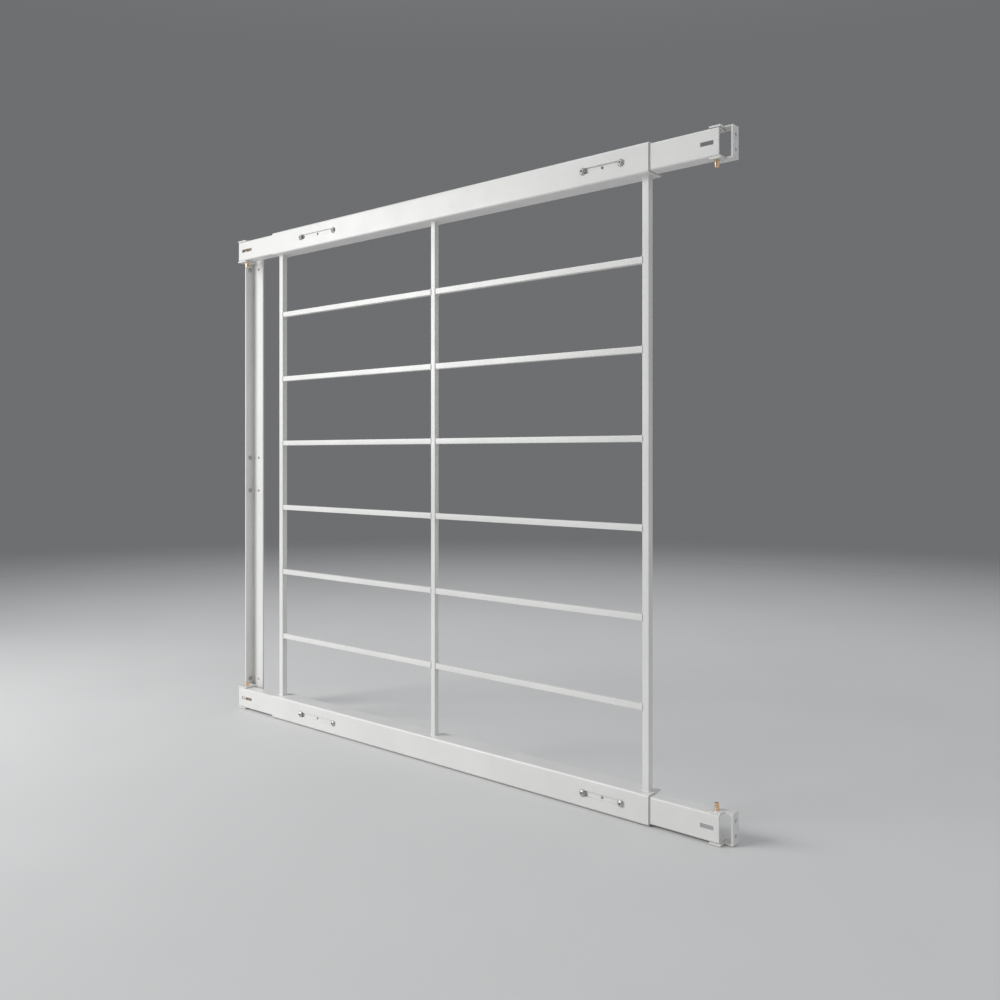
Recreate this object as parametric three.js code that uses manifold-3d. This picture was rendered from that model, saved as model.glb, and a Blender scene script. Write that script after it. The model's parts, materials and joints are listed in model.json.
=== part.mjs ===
// Hinged, width-adjustable window security guard, in millimetres, +Z up.
//
// Two rails, each an outer channel with an inner channel telescoping out of either end, carry a
// grille of square steel bars. The inner channels end in clevis brackets with removable pins. The
// left pins are the hinge: their brackets are welded to an angle plate on the window jamb. The
// right pins are the latch: pull them and the guard swings out of its right-hand brackets.
//
// Origin: centre of the hinge plate's jamb face. +X runs across the window to the latch side,
// +Y runs from the room side to the glass side, +Z is up.

import * as THREE from 'three';
import { mergeVertices } from 'three/addons/utils/BufferGeometryUtils.js';
import Module from 'manifold-3d';

const wasm = await Module();
wasm.setup();

// ---- Driving dimensions -------------------------------------------------------------------------

const GAP = 0.3; // clearance between pieces that touch or are welded

const TOTAL_WIDTH = 1110; // jamb to jamb, as fitted
const RAIL_Z = 457.5; // centre height of the top rail above mid-height
const FRONT_Y = -32; // room-side face of the outer channels

const OUTER = { length: 865, height: 43, depth: 34.5, wall: 2, bend: 3 };
const INNER = { length: 450, depth: 22, wall: 2, bend: 2.5 };
const INNER_FROM_JAMB = { left: 6.5, right: 15 };

const END_BAR = 11; // square bars at the ends of the grille
const MID_BAR = 9.5; // square bar in the middle, and the horizontal rungs
const BAR_SETBACK = 12; // front of the bars behind the front of the rails
const END_BAR_INSET = 6.5; // end bar to the end of the outer channel
const RUNG_ROWS = 6;
const RUNG_PITCH = 127;

// Clamp slots in the outer channels, with a screw at each end of the slot.
// inset: slot's middle to the channel's end; spacing: screw to screw.
const CLAMPS = { left: { inset: 138, spacing: 96 }, right: { inset: 79, spacing: 67 } };
const CLAMP_SLOT_HEIGHT = 8.4;
const CLAMP_SCREW = { headRadius: 5.5, headHeight: 3.2, shankRadius: 2.8 };

const INDEX_HOLE_RADIUS = 2.5; // row of holes along each inner channel's web
const INDEX_HOLE_PITCH = 41;
const INDEX_HOLE_COUNT = 5;
const INDEX_HOLES_OUTSIDE = 1; // holes between the clamp slot's middle and the channel's outer end
const END_SLOT_HEIGHT = 6;
const END_SLOTS = { left: { fromJamb: 17.5, length: 33 }, right: { fromJamb: 23, length: 20 } };

const PIN_RADIUS = 3.2;
const PIN_FROM_JAMB = { left: 21, right: 23 };
const PIN_DEPTH = 12.3; // pin axis behind the front of the rails
const PIN_TAIL = 10; // how far a pin stands out of its bracket, towards mid-height
const PIN_CHAMFER = 0.8;

// Clevis brackets. Depths are behind the front of the rails, reaches are from the jamb.
const EAR = { thickness: 2.5, front: 2.5 };
const HINGE_BRACKET = { reach: 28.5, earBack: 30, webThickness: 2.5, webFront: 22, webBack: 38 };
const LATCH_BRACKET = { reach: 29.5, earBack: 29.5, webThickness: 3, webFront: 13.5, webBack: 29.5 };
const LATCH_EAR_START = 13;

const PLATE = { thickness: 3, jambLeg: 20, faceLeg: 37, halfHeight: 463, bend: 4 };
const PLATE_HOLE_HEIGHTS = [-425, -34, 34, 425];
const FACE_HOLE_RADIUS = 3;
const FACE_HOLE_X = 23;

const JAMB_SCREW = { headRadius: 4.2, headHeight: 2.4, shankRadius: 2.2 };
const JAMB_HOLE_RADIUS = JAMB_SCREW.shankRadius + GAP;
const LATCH_SCREW_DEPTH = 21.5; // behind the front of the rails
const LATCH_SCREW_SPREAD = 10; // above and below the bracket's middle

const ROUND_SIDES = 16;

// ---- Derived ------------------------------------------------------------------------------------

const OUTER_START = (TOTAL_WIDTH - OUTER.length) / 2;
const INNER_FRONT = OUTER.wall + GAP;
const INNER_HEIGHT = OUTER.height - 2 * (OUTER.wall + GAP);
const EAR_INSIDE = INNER_HEIGHT / 2 + GAP; // ear's inner face from the rail's middle
const EAR_OUTSIDE = EAR_INSIDE + EAR.thickness;
const BAR_LENGTH = 2 * (RAIL_Z - OUTER.height / 2 - GAP);
const BAR_FRONT_Y = FRONT_Y + BAR_SETBACK;
const JAMB_LEG_HALF = PLATE.jambLeg / 2;

// ---- Materials ----------------------------------------------------------------------------------

const paint = new THREE.MeshStandardMaterial({ color: 0xf1f1ec, roughness: 0.42, metalness: 0 });
const plated = new THREE.MeshStandardMaterial({ color: 0xc9c8c2, roughness: 0.35, metalness: 0.9 });
const brass = new THREE.MeshStandardMaterial({ color: 0xb98748, roughness: 0.3, metalness: 1 });

// ---- Solid modelling helpers --------------------------------------------------------------------

function toSolid(geometry) {
  const bare = geometry.clone();
  bare.deleteAttribute('normal');
  bare.deleteAttribute('uv');
  const merged = mergeVertices(bare, 1e-4);
  const vertProperties = new Float32Array(merged.attributes.position.array);
  const triVerts = new Uint32Array(merged.index.array);
  return new wasm.Manifold(new wasm.Mesh({ numProp: 3, vertProperties, triVerts }));
}

function toGeometry(solid) {
  const { vertProperties, triVerts } = solid.getMesh();
  const geometry = new THREE.BufferGeometry();
  geometry.setAttribute('position', new THREE.BufferAttribute(vertProperties, 3));
  geometry.setIndex(new THREE.BufferAttribute(triVerts, 1));
  return geometry;
}

function cut(geometry, tools) {
  const solid = tools.reduce((body, tool) => body.subtract(toSolid(tool)), toSolid(geometry));
  return toGeometry(solid);
}

function join(geometries) {
  return toGeometry(geometries.map(toSolid).reduce((body, other) => body.add(other)));
}

// A box between two opposite corners.
function block([x0, y0, z0], [x1, y1, z1]) {
  const box = new THREE.BoxGeometry(x1 - x0, y1 - y0, z1 - z0);
  return box.translate((x0 + x1) / 2, (y0 + y1) / 2, (z0 + z1) / 2);
}

// A round bar centred on a point and lying along 'x', 'y' or 'z'.
function rod(axis, radius, length, [x, y, z]) {
  const cylinder = new THREE.CylinderGeometry(radius, radius, length, ROUND_SIDES);
  if (axis === 'x') cylinder.rotateZ(Math.PI / 2);
  if (axis === 'z') cylinder.rotateX(Math.PI / 2);
  return cylinder.translate(x, y, z);
}

// A slot with round ends through a wall that faces Y.
function roundSlot(length, height, wallDepth, [x, y, z]) {
  const reach = (length - height) / 2;
  const radius = height / 2;
  const near = [x - reach, y - wallDepth / 2, z - radius];
  const far = [x + reach, y + wallDepth / 2, z + radius];
  const ends = [-reach, reach].map((shift) => rod('y', radius, wallDepth, [x + shift, y, z]));
  return join([block(near, far), ...ends]);
}

function extrude(outline, length) {
  return new THREE.ExtrudeGeometry(outline, { depth: length, bevelEnabled: false, curveSegments: 4 });
}

// Sweep an outline drawn in (depth, height) along X.
function extrudeAlongX(outline, length) {
  const alongX = new THREE.Vector3(1, 0, 0);
  const alongY = new THREE.Vector3(0, 1, 0);
  const alongZ = new THREE.Vector3(0, 0, 1);
  const turn = new THREE.Matrix4().makeBasis(alongY, alongZ, alongX);
  return extrude(outline, length).applyMatrix4(turn);
}

// Folded channel section: web at depth 0, two flanges running back, rounded at the folds.
function channelOutline(height, depth, wall, bend) {
  const half = height / 2;
  const inside = half - wall;
  const fold = bend - wall;
  const outline = new THREE.Shape();
  outline.moveTo(depth, -half);
  outline.lineTo(depth, -inside);
  outline.lineTo(bend, -inside);
  outline.absarc(bend, -half + bend, fold, -Math.PI / 2, Math.PI, true);
  outline.lineTo(wall, half - bend);
  outline.absarc(bend, half - bend, fold, Math.PI, Math.PI / 2, true);
  outline.lineTo(depth, inside);
  outline.lineTo(depth, half);
  outline.lineTo(bend, half);
  outline.absarc(bend, half - bend, bend, Math.PI / 2, Math.PI, false);
  outline.lineTo(0, -half + bend);
  outline.absarc(bend, -half + bend, bend, Math.PI, -Math.PI / 2, false);
  return outline;
}

function named(name, geometry, material) {
  const mesh = new THREE.Mesh(geometry, material);
  mesh.name = name;
  return mesh;
}

// ---- Pieces of a rail ---------------------------------------------------------------------------

// Middle of the clamp slot on one side, in the rail's frame.
function clampX(side) {
  const fromEnd = CLAMPS[side].inset;
  return side === 'left' ? OUTER_START + fromEnd : OUTER_START + OUTER.length - fromEnd;
}

function clampScrewXs(side) {
  const half = CLAMPS[side].spacing / 2;
  return [clampX(side) - half, clampX(side) + half];
}

function outerChannel() {
  const section = channelOutline(OUTER.height, OUTER.depth, OUTER.wall, OUTER.bend);
  const body = extrudeAlongX(section, OUTER.length).translate(OUTER_START, 0, 0);
  const slots = ['left', 'right'].map((side) => {
    const length = CLAMPS[side].spacing + CLAMP_SLOT_HEIGHT;
    return roundSlot(length, CLAMP_SLOT_HEIGHT, 3 * OUTER.wall, [clampX(side), OUTER.wall / 2, 0]);
  });
  return cut(body, slots);
}

// An inner channel in its end's frame: x is measured inwards from the jamb.
function innerChannel(side) {
  const section = channelOutline(INNER_HEIGHT, INNER.depth, INNER.wall, INNER.bend);
  const body = extrudeAlongX(section, INNER.length).translate(INNER_FROM_JAMB[side], INNER_FRONT, 0);
  const webY = INNER_FRONT + INNER.wall / 2;
  const through = 3 * INNER.wall;
  const slotStart = END_SLOTS[side].fromJamb;
  const slotEnd = slotStart + END_SLOTS[side].length;
  const slotTop = END_SLOT_HEIGHT / 2;
  const slot = block([slotStart, webY - through / 2, -slotTop], [slotEnd, webY + through / 2, slotTop]);
  const firstHole = OUTER_START + CLAMPS[side].inset - INDEX_HOLES_OUTSIDE * INDEX_HOLE_PITCH;
  const holes = Array.from({ length: INDEX_HOLE_COUNT }, (_, i) => {
    return rod('y', INDEX_HOLE_RADIUS, through, [firstHole + i * INDEX_HOLE_PITCH, webY, 0]);
  });
  const pinHole = rod('z', PIN_RADIUS + GAP, 2 * INNER_HEIGHT, [PIN_FROM_JAMB[side], PIN_DEPTH, 0]);
  return cut(body, [slot, ...holes, pinHole]);
}

// A clevis in its end's frame: a web against the jamb or the plate, and an ear above and below.
// The ears step back to the web, so that the front of the clevis stays open.
function clevis({ reach, earBack, webThickness, webFront, webBack }, start, earStart, holes) {
  const webEnd = start + webThickness;
  const parts = [block([start, webFront, -EAR_OUTSIDE], [webEnd, webBack, EAR_OUTSIDE])];
  for (const z of [EAR_INSIDE, -EAR_OUTSIDE]) {
    const far = [reach, earBack, z + EAR.thickness];
    parts.push(block([earStart, EAR.front, z], far), block([start, webFront, z], far));
  }
  return cut(join(parts), holes);
}

function bracketPinHole(side) {
  return rod('z', PIN_RADIUS + GAP, 3 * EAR_OUTSIDE, [PIN_FROM_JAMB[side], PIN_DEPTH, 0]);
}

function latchScrewZs() {
  return [LATCH_SCREW_SPREAD, -LATCH_SCREW_SPREAD];
}

function latchBracket() {
  const { webThickness } = LATCH_BRACKET;
  const holes = latchScrewZs().map((z) => {
    return rod('x', JAMB_HOLE_RADIUS, 3 * webThickness, [webThickness / 2, LATCH_SCREW_DEPTH, z]);
  });
  return clevis(LATCH_BRACKET, 0, LATCH_EAR_START, [bracketPinHole('right'), ...holes]);
}

function hingeBracket() {
  const start = PLATE.thickness + GAP;
  return clevis(HINGE_BRACKET, start, start, [bracketPinHole('left')]);
}

// A plain pin with chamfered ends, its axis vertical and its tail pointing down.
function pin() {
  const top = EAR_OUTSIDE - GAP;
  const bottom = -EAR_OUTSIDE - PIN_TAIL;
  const waist = PIN_RADIUS - PIN_CHAMFER;
  const profile = [
    [0, bottom],
    [waist, bottom],
    [PIN_RADIUS, bottom + PIN_CHAMFER],
    [PIN_RADIUS, top - PIN_CHAMFER],
    [waist, top],
    [0, top],
  ];
  const points = profile.map(([radius, height]) => new THREE.Vector2(radius, height));
  return new THREE.LatheGeometry(points, ROUND_SIDES).rotateX(Math.PI / 2);
}

// A domed screw along Y: shank from y = 0 to shankLength, head in front of y = 0.
function domedScrew({ headRadius, headHeight, shankRadius }, shankLength) {
  const sphereRadius = (headRadius ** 2 + headHeight ** 2) / (2 * headHeight);
  const halfAngle = Math.asin(headRadius / sphereRadius);
  const rings = 3;
  const dome = Array.from({ length: rings + 1 }, (_, i) => {
    const angle = (halfAngle * i) / rings;
    return [sphereRadius * Math.sin(angle), sphereRadius * (1 - Math.cos(angle)) - headHeight];
  });
  const shank = [[shankRadius, 0], [shankRadius, shankLength], [0, shankLength]];
  const points = [...dome, ...shank].map(([radius, y]) => new THREE.Vector2(radius, y));
  return new THREE.LatheGeometry(points, ROUND_SIDES);
}

// ---- Grille bars --------------------------------------------------------------------------------

function squareBarZ(size) {
  return new THREE.BoxGeometry(size, size, BAR_LENGTH);
}

function endBarX(side) {
  const fromEnd = END_BAR_INSET + END_BAR / 2;
  return side === 'left' ? OUTER_START + fromEnd : OUTER_START + OUTER.length - fromEnd;
}

function grilleBars() {
  const bars = new THREE.Group();
  const uprights = [
    ['left', endBarX('left'), END_BAR],
    ['centre', TOTAL_WIDTH / 2, MID_BAR],
    ['right', endBarX('right'), END_BAR],
  ];
  for (const [place, x, size] of uprights) {
    const bar = named(`vertical_bar_${place}`, squareBarZ(size), paint);
    bar.position.set(x, BAR_FRONT_Y + size / 2, 0);
    bars.add(bar);
  }
  const rungStart = endBarX('left') + END_BAR / 2 + GAP;
  const rungEnd = TOTAL_WIDTH / 2 - MID_BAR / 2 - GAP;
  const rungOffset = TOTAL_WIDTH / 2 - (rungStart + rungEnd) / 2;
  for (let row = 0; row < RUNG_ROWS; row++) {
    const z = ((RUNG_ROWS - 1) / 2 - row) * RUNG_PITCH;
    for (const [side, sign] of [['left', -1], ['right', 1]]) {
      const geometry = new THREE.BoxGeometry(rungEnd - rungStart, MID_BAR, MID_BAR);
      const rung = named(`rung_${side}_${row + 1}`, geometry, paint);
      rung.position.set(TOTAL_WIDTH / 2 + sign * rungOffset, BAR_FRONT_Y + MID_BAR / 2, z);
      bars.add(rung);
    }
  }
  return bars;
}

// ---- Hinge plate on the jamb --------------------------------------------------------------------

function hingePlateGeometry() {
  const { thickness, faceLeg, halfHeight, bend } = PLATE;
  const fold = bend - thickness;
  const back = JAMB_LEG_HALF;
  const outline = new THREE.Shape();
  outline.moveTo(0, -JAMB_LEG_HALF);
  outline.lineTo(thickness, -JAMB_LEG_HALF);
  outline.lineTo(thickness, back - bend);
  outline.absarc(bend, back - bend, fold, Math.PI, Math.PI / 2, true);
  outline.lineTo(faceLeg, back - thickness);
  outline.lineTo(faceLeg, back);
  outline.lineTo(bend, back);
  outline.absarc(bend, back - bend, bend, Math.PI / 2, Math.PI, false);
  const body = extrude(outline, 2 * halfHeight).translate(0, 0, -halfHeight);
  const through = 3 * thickness;
  const faceY = back - thickness / 2;
  const holes = PLATE_HOLE_HEIGHTS.flatMap((z) => [
    rod('x', JAMB_HOLE_RADIUS, through, [thickness / 2, 0, z]),
    rod('y', FACE_HOLE_RADIUS, through, [FACE_HOLE_X, faceY, z]),
  ]);
  return cut(body, holes);
}

// A screw driven into the jamb through a wall of the given thickness, cut off at the jamb.
function jambScrew(name, wall, y, z) {
  const screw = named(name, domedScrew(JAMB_SCREW, wall), plated);
  screw.rotation.z = Math.PI / 2;
  screw.position.set(wall + GAP, y, z);
  return screw;
}

function hingePlate() {
  const assembly = new THREE.Group();
  assembly.add(named('hinge_plate', hingePlateGeometry(), paint));
  PLATE_HOLE_HEIGHTS.forEach((z, index) => {
    assembly.add(jambScrew(`hinge_plate_screw_${index + 1}`, PLATE.thickness, 0, z));
  });
  return assembly;
}

// ---- Rails --------------------------------------------------------------------------------------

// One end of a rail. Its frame measures x inwards from the jamb; the right end is the left end
// turned half a turn about the depth axis, so up and down swap there.
function railEnd(level, side) {
  const end = new THREE.Group();
  const isRight = side === 'right';
  if (isRight) {
    end.position.x = TOTAL_WIDTH;
    end.rotation.y = Math.PI;
  }
  end.add(named(`inner_channel_${level}_${side}`, innerChannel(side), paint));
  if (isRight) {
    end.add(named(`latch_bracket_${level}`, latchBracket(), paint));
    latchScrewZs().forEach((z, index) => {
      const name = `latch_screw_${level}_${index + 1}`;
      end.add(jambScrew(name, LATCH_BRACKET.webThickness, LATCH_SCREW_DEPTH, z));
    });
  } else {
    end.add(named(`hinge_bracket_${level}`, hingeBracket(), paint));
  }
  const role = isRight ? 'latch' : 'hinge';
  const railPin = named(`${role}_pin_${level}`, pin(), brass);
  const tailPointsDown = (level === 'top') !== isRight;
  railPin.rotation.x = tailPointsDown ? 0 : Math.PI;
  railPin.position.set(PIN_FROM_JAMB[side], PIN_DEPTH, 0);
  end.add(railPin);
  return end;
}

function rail(level) {
  const assembly = new THREE.Group();
  assembly.position.set(0, FRONT_Y, level === 'top' ? RAIL_Z : -RAIL_Z);
  assembly.add(named(`outer_channel_${level}`, outerChannel(), paint));
  for (const side of ['left', 'right']) {
    clampScrewXs(side).forEach((x, index) => {
      const name = `clamp_screw_${level}_${side}_${index + 1}`;
      const screw = named(name, domedScrew(CLAMP_SCREW, OUTER.wall + GAP), plated);
      screw.position.set(x, -GAP, 0);
      assembly.add(screw);
    });
    assembly.add(railEnd(level, side));
  }
  return assembly;
}

const guard = new THREE.Group();
guard.add(hingePlate(), rail('top'), rail('bottom'), grilleBars());

export default guard;
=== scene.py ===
import json
import math

import bmesh
import bpy
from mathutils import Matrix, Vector, noise


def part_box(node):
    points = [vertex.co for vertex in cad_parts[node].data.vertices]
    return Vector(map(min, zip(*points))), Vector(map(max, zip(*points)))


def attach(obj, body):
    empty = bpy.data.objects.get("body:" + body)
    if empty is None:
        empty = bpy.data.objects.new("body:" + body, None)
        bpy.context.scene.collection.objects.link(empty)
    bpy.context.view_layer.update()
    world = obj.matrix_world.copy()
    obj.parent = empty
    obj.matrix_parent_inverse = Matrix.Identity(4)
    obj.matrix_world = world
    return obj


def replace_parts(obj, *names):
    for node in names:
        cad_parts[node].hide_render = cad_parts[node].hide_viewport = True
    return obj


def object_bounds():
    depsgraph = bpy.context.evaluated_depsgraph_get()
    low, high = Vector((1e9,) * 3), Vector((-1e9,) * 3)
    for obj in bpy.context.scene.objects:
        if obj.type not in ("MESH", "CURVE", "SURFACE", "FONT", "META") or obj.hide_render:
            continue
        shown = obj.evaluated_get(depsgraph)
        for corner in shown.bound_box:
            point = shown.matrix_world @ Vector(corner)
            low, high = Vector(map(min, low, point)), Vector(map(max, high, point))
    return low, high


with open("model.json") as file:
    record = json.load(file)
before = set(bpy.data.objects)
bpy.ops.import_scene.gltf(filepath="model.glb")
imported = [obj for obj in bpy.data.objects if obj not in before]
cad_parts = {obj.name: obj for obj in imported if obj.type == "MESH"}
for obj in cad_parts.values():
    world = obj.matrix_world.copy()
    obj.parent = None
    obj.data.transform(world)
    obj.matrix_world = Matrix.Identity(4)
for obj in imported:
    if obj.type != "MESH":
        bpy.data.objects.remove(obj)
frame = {"nodes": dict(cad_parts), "record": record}
cad_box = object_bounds()

# ---- Sizes, in metres ---------------------------------------------------------------------------

MM = 0.001

CAMERA_OFFSET = Vector((1.1508, -1.1607, 0.0411))  # from the middle of the rails' front face
CAMERA_YAW = math.radians(40.48)
CAMERA_LENS = 34.75  # this and the sensor's width are in millimetres
SENSOR_WIDTH = 36.0
CAMERA_SHIFT = -0.0456

FLOOR_DROP = 1 * MM
FLOOR_SIZE = 30.0
FLOOR_FADE_START = 0.9  # the floor fades into the backdrop between these distances
FLOOR_FADE_END = 4.5

EDGE_ROUND = 0.45 * MM  # softened edge of sheared and folded sheet
BAR_EDGE_ROUND = 0.9 * MM  # corner of cold-drawn square bar
BEVEL_SEGMENTS = 2
MERGE_DISTANCE = 0.01 * MM
FLAT_ANGLE = math.radians(0.5)  # faces that meet at less than this are one flat face
BEVEL_ANGLE = math.radians(40)  # edges sharper than this are rounded
SMOOTH_ANGLE = math.radians(35)  # edges sharper than this stay sharp in the shading

ROUND_SEGMENTS = 48  # round a screw or a pin
DOME_RINGS = 7
EDGE_BREAK = 0.25 * MM  # broken edge of a turned part
SOCKET = {"radius": 0.36, "depth": 0.62}  # hexagon socket, as parts of the head's radius and height
SHANK_PART = 0.52  # shank radius as a part of the head's
SCREWS = {
    "clamp_screw": {"head_height": 3.2 * MM, "faces": Vector((0, -1, 0))},
    "hinge_plate_screw": {"head_height": 2.4 * MM, "faces": Vector((1, 0, 0))},
    "latch_screw": {"head_height": 2.4 * MM, "faces": Vector((-1, 0, 0))},
}

PIN_CHAMFER = 0.8 * MM
PIN_GROOVE = {"from_end": 2.6 * MM, "width": 1.1 * MM, "depth": 0.45 * MM}

GAP = 0.3 * MM  # clearance that the CAD model leaves at a welded joint
BEAD_RADIUS = 1.25 * MM
BEAD_SIDES = 10
BEAD_STEP = 0.55 * MM  # from one ring of a bead to the next
RIPPLE_PITCH = 1.9 * MM
RIPPLE_DEPTH = 0.13  # part of the bead's radius
BEAD_WANDER = 0.3 * MM  # how far a bead strays from its line, over a length of WANDER_PITCH
WANDER_PITCH = 4 * MM
HINGE_WEB_FRONT = 22 * MM  # front edge of a hinge bracket's web behind the front of the rails

WHITE = (0.80, 0.80, 0.78)
DUST = (0.66, 0.645, 0.60)
THIN_PAINT = (0.50, 0.49, 0.47)  # on sharp edges, where the coat is thin
THIN_PAINT_REACH = 0.9 * MM
ZINC = (0.50, 0.495, 0.48)
BRIGHT_ZINC = (0.58, 0.57, 0.545)
BRASS = (0.86, 0.62, 0.42)
TARNISH = (0.42, 0.24, 0.11)
FLOOR_GREY = (0.70, 0.70, 0.695)
BACKDROP_GREY = (0.155, 0.158, 0.163)
OVERHEAD_GREY = (0.54, 0.55, 0.57)
OVERHEAD_START = 0.35  # the backdrop grows lighter above this height, where 1 is straight up
PURE_WHITE = (1.0, 1.0, 1.0)
COOL_WHITE = (0.97, 0.985, 1.0)

LEVELS = {"top": 1, "bottom": -1}  # and the direction away from mid-height
ROOM_SIDE = Vector((0, -1, 0))
GLASS_SIDE = Vector((0, 1, 0))


def is_bar(name):
    return name.startswith(("rung", "vertical_bar"))


def darker(color, part):
    return tuple(part * channel for channel in color)


# ---- Material helpers ---------------------------------------------------------------------------

class NodeBuilder:
    """A short way to write a node tree: each call adds a node and returns its output socket."""

    def __init__(self, name):
        self.material = bpy.data.materials.new(name)
        self.material.use_nodes = True
        self.tree = self.material.node_tree
        self.shader = self.tree.nodes["Principled BSDF"]
        self.point = self.add("ShaderNodeTexCoord").outputs["Object"]

    def add(self, kind, **settings):
        node = self.tree.nodes.new(kind)
        for key, value in settings.items():
            setattr(node, key, value)
        return node

    def link(self, source, target):
        self.tree.links.new(source, target)

    def noise(self, scale, detail=3.0, roughness=0.5, stretch=None):
        point = self.point
        if stretch:
            mapping = self.add("ShaderNodeMapping")
            mapping.inputs["Scale"].default_value = stretch
            self.link(point, mapping.inputs["Vector"])
            point = mapping.outputs["Vector"]
        node = self.add("ShaderNodeTexNoise")
        self.link(point, node.inputs["Vector"])
        node.inputs["Scale"].default_value = scale
        node.inputs["Detail"].default_value = detail
        node.inputs["Roughness"].default_value = roughness
        return node.outputs["Fac"]

    def ramp(self, value, low, high, out_low=0.0, out_high=1.0):
        node = self.add("ShaderNodeMapRange")
        node.interpolation_type = "SMOOTHSTEP"
        self.link(value, node.inputs["Value"])
        limits = {"From Min": low, "From Max": high, "To Min": out_low, "To Max": out_high}
        for key, number in limits.items():
            node.inputs[key].default_value = number
        return node.outputs["Result"]

    def math(self, operation, first, second):
        node = self.add("ShaderNodeMath", operation=operation)
        for socket, value in zip(node.inputs, (first, second)):
            if isinstance(value, (int, float)):
                socket.default_value = value
            else:
                self.link(value, socket)
        return node.outputs["Value"]

    def mix(self, factor, first, second):
        node = self.add("ShaderNodeMix", data_type="RGBA")
        self.link(factor, node.inputs["Factor"])
        for key, value in (("A", first), ("B", second)):
            socket = [s for s in node.inputs if s.name == key and s.type == "RGBA"][0]
            if isinstance(value, tuple):
                socket.default_value = (*value, 1.0)
            else:
                self.link(value, socket)
        return [s for s in node.outputs if s.type == "RGBA"][0]

    def bump(self, height, distance, strength, under=None):
        node = self.add("ShaderNodeBump")
        node.inputs["Distance"].default_value = distance
        node.inputs["Strength"].default_value = strength
        self.link(height, node.inputs["Height"])
        if under:
            self.link(under, node.inputs["Normal"])
        return node.outputs["Normal"]

    def edges(self, radius):
        """1 on sharp edges and 0 on flat faces: how far a rounded normal leans from the true one."""
        bevel = self.add("ShaderNodeBevel", samples=6)
        bevel.inputs["Radius"].default_value = radius
        true_normal = self.add("ShaderNodeNewGeometry").outputs["Normal"]
        dot = self.add("ShaderNodeVectorMath", operation="DOT_PRODUCT")
        self.link(bevel.outputs["Normal"], dot.inputs[0])
        self.link(true_normal, dot.inputs[1])
        return self.ramp(dot.outputs["Value"], 0.99, 0.86)

    def finish(self, color, roughness, normal, metallic=0.0, **constants):
        self.link(color, self.shader.inputs["Base Color"])
        self.link(roughness, self.shader.inputs["Roughness"])
        self.link(normal, self.shader.inputs["Normal"])
        self.shader.inputs["Metallic"].default_value = metallic
        for key, value in constants.items():
            self.shader.inputs[key.replace("_", " ")].default_value = value
        return self.material


def powder_coat():
    """White semi-gloss powder coat: fine orange peel, faint mottling, and thin, slightly darker edges."""
    m = NodeBuilder("white_powder_coat")
    mottle = m.ramp(m.noise(9.0, detail=5.0, roughness=0.6), 0.3, 0.7)
    grime = m.ramp(m.noise(38.0, detail=6.0, roughness=0.65), 0.58, 0.8)
    base = m.mix(mottle, WHITE, darker(WHITE, 0.94))
    dusty = m.mix(m.math("MULTIPLY", grime, 0.35), base, DUST)
    worn = m.math("MULTIPLY", m.edges(THIN_PAINT_REACH), m.ramp(m.noise(160.0, detail=4.0), 0.45, 0.75))
    color = m.mix(m.math("MULTIPLY", worn, 0.55), dusty, THIN_PAINT)
    uneven = m.ramp(m.noise(24.0, detail=4.0), 0.25, 0.75, 0.34, 0.46)
    roughness = m.math("ADD", uneven, m.math("MULTIPLY", grime, 0.12))
    peel = m.bump(m.noise(480.0, detail=1.5, roughness=0.4), 0.09 * MM, 0.75)
    normal = m.bump(m.noise(60.0, detail=2.0), 0.12 * MM, 0.35, under=peel)
    return m.finish(color, roughness, normal, IOR=1.5, Coat_Weight=0.25, Coat_Roughness=0.22)


def zinc_plate():
    """Bright zinc on steel: slightly uneven colour, tumbling scratches, duller in patches."""
    m = NodeBuilder("zinc_plate")
    tone = m.ramp(m.noise(220.0, detail=4.0), 0.3, 0.7)
    color = m.mix(tone, ZINC, BRIGHT_ZINC)
    roughness = m.ramp(m.noise(600.0, detail=4.0, roughness=0.7), 0.3, 0.72, 0.4, 0.58)
    normal = m.bump(m.noise(1400.0, detail=3.0, roughness=0.7, stretch=(1.0, 1.0, 5.0)), 0.03 * MM, 0.6)
    return m.finish(color, roughness, normal, metallic=1.0)


def worn_brass():
    """Drawn brass rod: fine lathe rings around the pin, brown tarnish in patches."""
    m = NodeBuilder("worn_brass")
    tarnish = m.ramp(m.noise(140.0, detail=5.0, roughness=0.65), 0.5, 0.78)
    color = m.mix(m.math("MULTIPLY", tarnish, 0.5), BRASS, TARNISH)
    uneven = m.ramp(m.noise(900.0, detail=3.0), 0.3, 0.7, 0.2, 0.32)
    roughness = m.math("ADD", uneven, m.math("MULTIPLY", tarnish, 0.2))
    rings = m.noise(1.0, detail=2.0, stretch=(60.0, 60.0, 3200.0))
    normal = m.bump(rings, 0.04 * MM, 0.6)
    return m.finish(color, roughness, normal, metallic=1.0)


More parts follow.
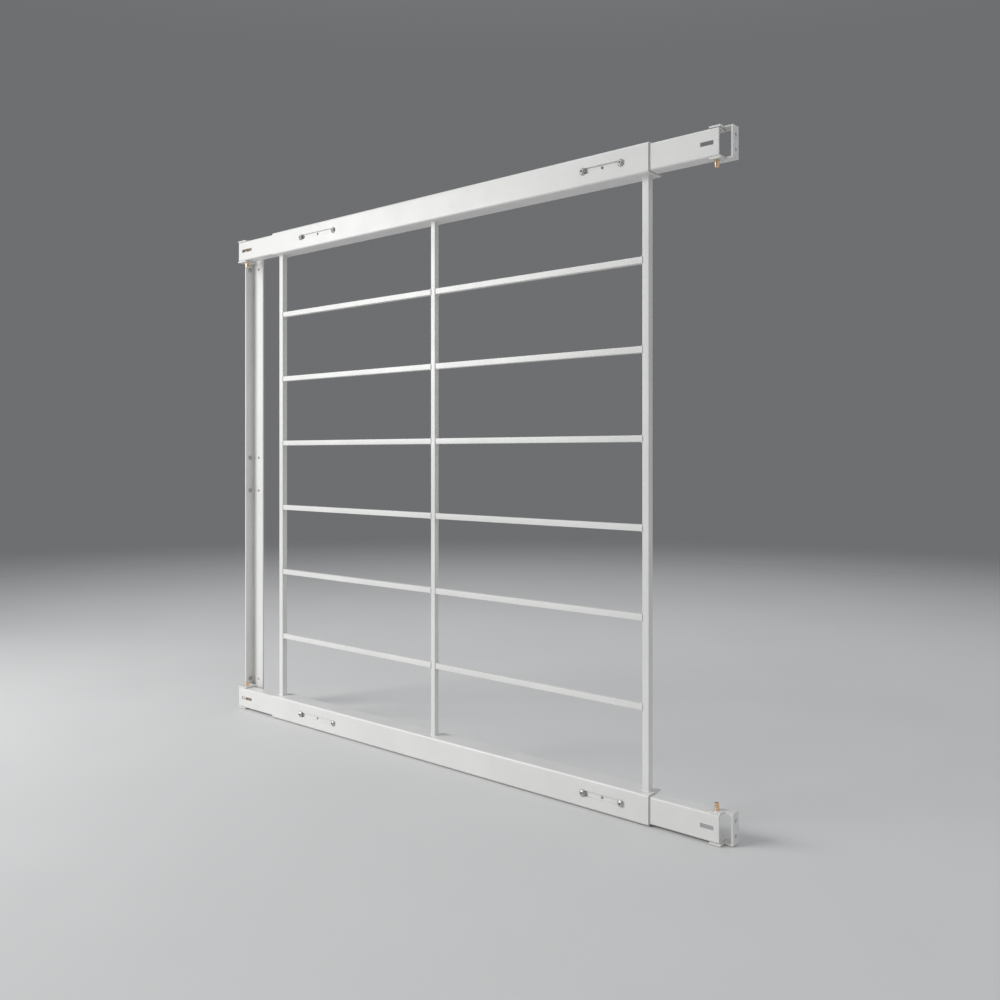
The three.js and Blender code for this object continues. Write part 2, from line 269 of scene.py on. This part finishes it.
def floor_paint():
    """Matt pale grey, which turns clear far from the guard, so that the backdrop shows."""
    m = NodeBuilder("studio_floor")
    tone = m.ramp(m.noise(1.3, detail=3.0), 0.3, 0.7)
    color = m.mix(tone, FLOOR_GREY, darker(FLOOR_GREY, 0.97))
    roughness = m.ramp(m.noise(6.0, detail=3.0), 0.3, 0.7, 0.62, 0.72)
    normal = m.bump(m.noise(260.0, detail=2.0), 0.2 * MM, 0.2)
    material = m.finish(color, roughness, normal)
    distance = m.add("ShaderNodeVectorMath", operation="LENGTH")
    m.link(m.point, distance.inputs[0])
    fade = m.ramp(distance.outputs["Value"], FLOOR_FADE_START, FLOOR_FADE_END)
    clear = m.add("ShaderNodeBsdfTransparent")
    blend = m.add("ShaderNodeMixShader")
    m.link(fade, blend.inputs["Fac"])
    m.link(m.shader.outputs["BSDF"], blend.inputs[1])
    m.link(clear.outputs["BSDF"], blend.inputs[2])
    m.link(blend.outputs["Shader"], m.tree.nodes["Material Output"].inputs["Surface"])
    return material


# ---- Mesh helpers -------------------------------------------------------------------------------

def smooth_by_angle_group(angle):
    """Geometry nodes that shade a mesh smooth, except across edges sharper than the angle."""
    group = bpy.data.node_groups.new("smooth_by_angle", "GeometryNodeTree")
    group.interface.new_socket("Geometry", in_out="INPUT", socket_type="NodeSocketGeometry")
    group.interface.new_socket("Geometry", in_out="OUTPUT", socket_type="NodeSocketGeometry")
    nodes = group.nodes
    links = group.links
    start = nodes.new("NodeGroupInput")
    end = nodes.new("NodeGroupOutput")
    faces = nodes.new("GeometryNodeSetShadeSmooth")
    edges = nodes.new("GeometryNodeSetShadeSmooth")
    edges.domain = "EDGE"
    edge_angle = nodes.new("GeometryNodeInputMeshEdgeAngle")
    compare = nodes.new("FunctionNodeCompare")
    compare.operation = "LESS_EQUAL"
    compare.inputs["B"].default_value = angle
    links.new(start.outputs["Geometry"], faces.inputs["Geometry"])
    links.new(faces.outputs["Geometry"], edges.inputs["Geometry"])
    links.new(edge_angle.outputs["Unsigned Angle"], compare.inputs["A"])
    links.new(compare.outputs["Result"], edges.inputs["Shade Smooth"])
    links.new(edges.outputs["Geometry"], end.inputs["Geometry"])
    return group


SMOOTH = smooth_by_angle_group(SMOOTH_ANGLE)


def soften(obj, width):
    """Rounds a CAD node's sharp edges with modifiers alone."""
    obj.modifiers.new("weld", "WELD").merge_threshold = MERGE_DISTANCE
    flat = obj.modifiers.new("flat_faces", "DECIMATE")
    flat.decimate_type = "DISSOLVE"
    flat.angle_limit = FLAT_ANGLE
    bevel = obj.modifiers.new("edges", "BEVEL")
    bevel.width = width
    bevel.segments = BEVEL_SEGMENTS
    bevel.limit_method = "ANGLE"
    bevel.angle_limit = BEVEL_ANGLE
    bevel.miter_outer = "MITER_ARC"
    bevel.use_clamp_overlap = True
    obj.modifiers.new("shading", "NODES").node_group = SMOOTH
    normals = obj.modifiers.new("flat_normals", "WEIGHTED_NORMAL")
    normals.weight = 100
    normals.keep_sharp = True


def set_material(obj, material):
    obj.data.materials.clear()
    obj.data.materials.append(material)


def add_piece(name, shape, slot, body):
    """Makes a bmesh, drawn in the row frame, into a smooth-shaded piece that rides on a body."""
    bmesh.ops.recalc_face_normals(shape, faces=shape.faces)
    mesh = bpy.data.meshes.new(name)
    shape.to_mesh(mesh)
    shape.free()
    piece = bpy.data.objects.new(name, mesh)
    bpy.context.scene.collection.objects.link(piece)
    piece.modifiers.new("shading", "NODES").node_group = SMOOTH
    set_material(piece, MATERIALS[slot])
    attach(piece, body)
    return piece


def join_rings(shape, rings):
    """Joins rings of vertices into an open tube."""
    count = len(rings[0])
    for near, far in zip(rings, rings[1:]):
        for i in range(count):
            j = (i + 1) % count
            shape.faces.new((near[i], near[j], far[j], far[i]))


def close_ends(shape, rings):
    """Closes a tube with a flat face at either end."""
    shape.faces.new(rings[0])
    shape.faces.new(rings[-1])


# ---- Turned pieces: screws and pins -------------------------------------------------------------

def hexagon_reach(angle):
    """How far a hexagon of corner radius 1 reaches at an angle."""
    sixth = math.radians(60)
    return math.cos(sixth / 2) / math.cos(angle % sixth - sixth / 2)


def turned(profile, seat, direction):
    """A closed turned solid: rows of (height from the seat, radius, reach function or None)."""
    shape = bmesh.new()
    turn = direction.to_track_quat("Z", "X")
    rings = []
    for height, radius, reach in profile:
        ring = []
        for i in range(ROUND_SEGMENTS):
            angle = 2 * math.pi * i / ROUND_SEGMENTS
            r = radius * (reach(angle) if reach else 1.0)
            offset = Vector((r * math.cos(angle), r * math.sin(angle), height))
            ring.append(shape.verts.new(seat + turn @ offset))
        rings.append(ring)
    join_rings(shape, rings)
    close_ends(shape, rings)
    return shape


def domed_screw_profile(head_radius, head_height, shank_radius, shank_length):
    """Shank, broken rim, dome, and a hexagon socket in the dome's middle."""
    socket = SOCKET["radius"] * head_radius
    dome_height = head_height - EDGE_BREAK
    sphere = (head_radius ** 2 + dome_height ** 2) / (2 * dome_height)
    rim_angle = math.asin(head_radius / sphere)
    socket_angle = math.asin((socket + EDGE_BREAK) / sphere)
    profile = [
        (-shank_length, shank_radius - EDGE_BREAK, None),
        (EDGE_BREAK - shank_length, shank_radius, None),
        (0.0, shank_radius, None),
        (0.0, head_radius - EDGE_BREAK, None),
    ]
    for i in range(DOME_RINGS + 1):
        angle = rim_angle + (socket_angle - rim_angle) * i / DOME_RINGS
        profile.append((head_height - sphere * (1 - math.cos(angle)), sphere * math.sin(angle), None))
    socket_top = profile[-1][0] - EDGE_BREAK / 2
    socket_floor = head_height * (1 - SOCKET["depth"])
    profile += [(socket_top, socket, hexagon_reach), (socket_floor, socket, hexagon_reach)]
    return profile


def make_screw(name, body):
    """A finer screw in place of the CAD one, with its head away from what it is driven into."""
    family = next(key for key in SCREWS if name.startswith(key))
    head_height = SCREWS[family]["head_height"]
    direction = SCREWS[family]["faces"]
    low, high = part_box(name)
    size = high - low
    length = abs(size.dot(direction))
    radius = size.z / 2
    seat = (low + high) / 2 + direction * (length / 2 - head_height)
    profile = domed_screw_profile(radius, head_height, SHANK_PART * radius, length - head_height)
    piece = add_piece(f"fine_{name}", turned(profile, seat, direction), "plated_screw", body)
    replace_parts(piece, name)


def make_screws():
    for body, names in frame["record"]["behaviour"]["bodies"].items():
        for name in names:
            if "screw" in name:
                make_screw(name, body)


def pin_profile(radius, length):
    """A pin from its tail, at height 0, to its top: chamfered ends and a groove near the tail."""
    groove = PIN_GROOVE["from_end"]
    far_side = groove + PIN_GROOVE["width"]
    waist = radius - PIN_GROOVE["depth"]
    return [
        (0.0, radius - PIN_CHAMFER, None),
        (PIN_CHAMFER, radius, None),
        (groove, radius, None),
        (groove + EDGE_BREAK, waist, None),
        (far_side - EDGE_BREAK, waist, None),
        (far_side, radius, None),
        (length - PIN_CHAMFER, radius, None),
        (length, radius - PIN_CHAMFER, None),
    ]


def make_pins():
    for level, up in LEVELS.items():
        for role in ("hinge", "latch"):
            name = f"{role}_pin_{level}"
            low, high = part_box(name)
            tail = Vector(((low.x + high.x) / 2, (low.y + high.y) / 2, low.z if up > 0 else high.z))
            profile = pin_profile((high.x - low.x) / 2, high.z - low.z)
            shape = turned(profile, tail, Vector((0, 0, up)))
            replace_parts(add_piece(f"fine_{name}", shape, "brass_pin", f"{level}_{role}_pin"), name)


# ---- Weld beads ---------------------------------------------------------------------------------

def add_bead(shape, path, length, is_closed, seed):
    """Sweeps a rippled bead along a path.

    path(distance) gives a point and the two directions across the bead there.
    """
    steps = round(length / BEAD_STEP)
    rings = []
    for i in range(steps if is_closed else steps + 1):
        distance = length * i / steps
        point, outward, sideways = path(distance)
        wave = math.sin(2 * math.pi * distance / RIPPLE_PITCH)
        radius = BEAD_RADIUS * (1 + RIPPLE_DEPTH * wave)
        wander = noise.noise(Vector((point.x, point.y, point.z + seed)) / WANDER_PITCH) * BEAD_WANDER
        ring = []
        for k in range(BEAD_SIDES):
            angle = 2 * math.pi * k / BEAD_SIDES
            offset = outward * (math.cos(angle) * radius + wander) + sideways * (math.sin(angle) * radius)
            ring.append(shape.verts.new(point + offset))
        rings.append(ring)
    if is_closed:
        rings.append(rings[0])
    join_rings(shape, rings)
    if not is_closed:
        close_ends(shape, rings)


def ring_path(middle, axis, half):
    """Once round a square bar that lies along axis, on the bar's surface."""
    up = axis.cross(GLASS_SIDE)
    sides = [GLASS_SIDE, up, ROOM_SIDE, -up]
    side_length = 2 * half

    def path(distance):
        index = int(distance / side_length) % 4
        along = distance - index * side_length - half
        outward = sides[index]
        forward = sides[(index + 1) % 4]
        turn = along / half * math.radians(45)
        lean = (outward * math.cos(turn) + forward * math.sin(turn)).normalized()
        return middle + outward * half + forward * along, lean, axis

    return path, 4 * side_length


def straight_path(start, end, outward):
    direction = (end - start).normalized()
    sideways = direction.cross(outward)

    def path(distance):
        return start + direction * distance, outward, sideways

    return path, (end - start).length


def make_grille_welds():
    """A bead round each end of every rung and upright."""
    shape = bmesh.new()
    bars = filter(is_bar, frame["record"]["behaviour"]["bodies"]["grille"])
    for seed, name in enumerate(bars):
        low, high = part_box(name)
        middle = (low + high) / 2
        axis = Vector((1, 0, 0)) if name.startswith("rung") else Vector((0, 0, 1))
        reach = (high - low).dot(axis) / 2 + GAP / 2
        half = (high.y - low.y) / 2
        for end in (-reach, reach):
            path, length = ring_path(middle + axis * end, axis, half)
            add_bead(shape, path, length, True, seed)
    add_piece("grille_weld_beads", shape, "white_paint", "grille")


def make_bracket_welds():
    """Two upright beads along the edges of each hinge bracket's web, where it laps the plate."""
    shape = bmesh.new()
    web_front = rail_front_middle().y + HINGE_WEB_FRONT
    for level in LEVELS:
        low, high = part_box(f"hinge_bracket_{level}")
        x = low.x - GAP / 2
        for y, outward in ((web_front, ROOM_SIDE), (high.y, GLASS_SIDE)):
            bottom = Vector((x, y, low.z + 2 * BEAD_RADIUS))
            top = Vector((x, y, high.z - 2 * BEAD_RADIUS))
            path, length = straight_path(bottom, top, outward)
            add_bead(shape, path, length, False, y)
    add_piece("hinge_bracket_weld_beads", shape, "white_paint", "wall_plate")


# ---- Camera, floor and light --------------------------------------------------------------------

def rail_front_middle():
    low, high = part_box("outer_channel_top")
    return Vector(((low.x + high.x) / 2, low.y, 0.0))


def make_camera():
    camera = bpy.data.objects.new("camera", bpy.data.cameras.new("camera"))
    bpy.context.scene.collection.objects.link(camera)
    camera.location = rail_front_middle() + CAMERA_OFFSET
    camera.rotation_euler = (math.radians(90), 0.0, CAMERA_YAW)
    camera.data.lens = CAMERA_LENS
    camera.data.sensor_width = SENSOR_WIDTH
    camera.data.shift_y = CAMERA_SHIFT
    bpy.context.scene.camera = camera


def make_floor():
    half = FLOOR_SIZE / 2
    middle = rail_front_middle()
    height = cad_box[0].z - FLOOR_DROP
    mesh = bpy.data.meshes.new("floor")
    corners = [(-half, -half), (half, -half), (half, half), (-half, half)]
    mesh.from_pydata([(x, y, 0.0) for x, y in corners], [], [(0, 1, 2, 3)])
    floor = bpy.data.objects.new("floor", mesh)
    bpy.context.scene.collection.objects.link(floor)
    floor.location = (middle.x, middle.y, height)
    set_material(floor, floor_paint())


def area_light(name, offset, size, watts):
    """A square area light that faces the middle of the guard."""
    light = bpy.data.lights.new(name, "AREA")
    light.shape = "SQUARE"
    light.size = size
    light.energy = watts
    lamp = bpy.data.objects.new(name, light)
    bpy.context.scene.collection.objects.link(lamp)
    lamp.location = rail_front_middle() + Vector(offset)
    lamp.rotation_euler = (-Vector(offset)).to_track_quat("-Z", "Y").to_euler()


def soft_sun(name, towards, strength, spread, color=PURE_WHITE):
    """An even light from far away; spread is its width in the sky, in degrees."""
    light = bpy.data.lights.new(name, "SUN")
    light.energy = strength
    light.angle = math.radians(spread)
    light.color = color
    lamp = bpy.data.objects.new(name, light)
    bpy.context.scene.collection.objects.link(lamp)
    lamp.rotation_euler = (-Vector(towards)).to_track_quat("-Z", "Y").to_euler()


def make_backdrop():
    """A grey backdrop that grows lighter overhead."""
    world = bpy.data.worlds.new("world")
    bpy.context.scene.world = world
    world.use_nodes = True
    tree = world.node_tree
    direction = tree.nodes.new("ShaderNodeTexCoord")
    split = tree.nodes.new("ShaderNodeSeparateXYZ")
    lift = tree.nodes.new("ShaderNodeMapRange")
    lift.interpolation_type = "SMOOTHSTEP"
    lift.inputs["From Min"].default_value = OVERHEAD_START
    mix = tree.nodes.new("ShaderNodeMix")
    mix.data_type = "RGBA"
    colors = [socket for socket in mix.inputs if socket.type == "RGBA"]
    colors[0].default_value = (*BACKDROP_GREY, 1.0)
    colors[1].default_value = (*OVERHEAD_GREY, 1.0)
    tree.links.new(direction.outputs["Generated"], split.inputs["Vector"])
    tree.links.new(split.outputs["Z"], lift.inputs["Value"])
    tree.links.new(lift.outputs["Result"], mix.inputs["Factor"])
    result = [socket for socket in mix.outputs if socket.type == "RGBA"][0]
    tree.links.new(result, tree.nodes["Background"].inputs["Color"])


def make_lights():
    soft_sun("key", (-0.55, -0.75, 0.62), strength=1.0, spread=24)
    soft_sun("fill", (0.95, -0.12, 0.22), strength=0.42, spread=60, color=COOL_WHITE)
    soft_sun("back", (0.25, 1.0, 0.7), strength=0.35, spread=40)
    area_light("left_softbox", (-1.45, -1.45, 0.55), size=0.9, watts=20)
    make_backdrop()
    bpy.context.scene.view_settings.view_transform = "Standard"


# ---- The object ---------------------------------------------------------------------------------

def dress_cad_nodes():
    by_slot = {row["node"]: row["material_slot"] for row in frame["record"]["subparts"]}
    for name, node in frame["nodes"].items():
        set_material(node, MATERIALS[by_slot[name]])
        soften(node, BAR_EDGE_ROUND if is_bar(name) else EDGE_ROUND)


MATERIALS = {"white_paint": powder_coat(), "plated_screw": zinc_plate(), "brass_pin": worn_brass()}
make_camera()
make_floor()
make_lights()
dress_cad_nodes()
make_screws()
make_pins()
make_grille_welds()
make_bracket_welds()
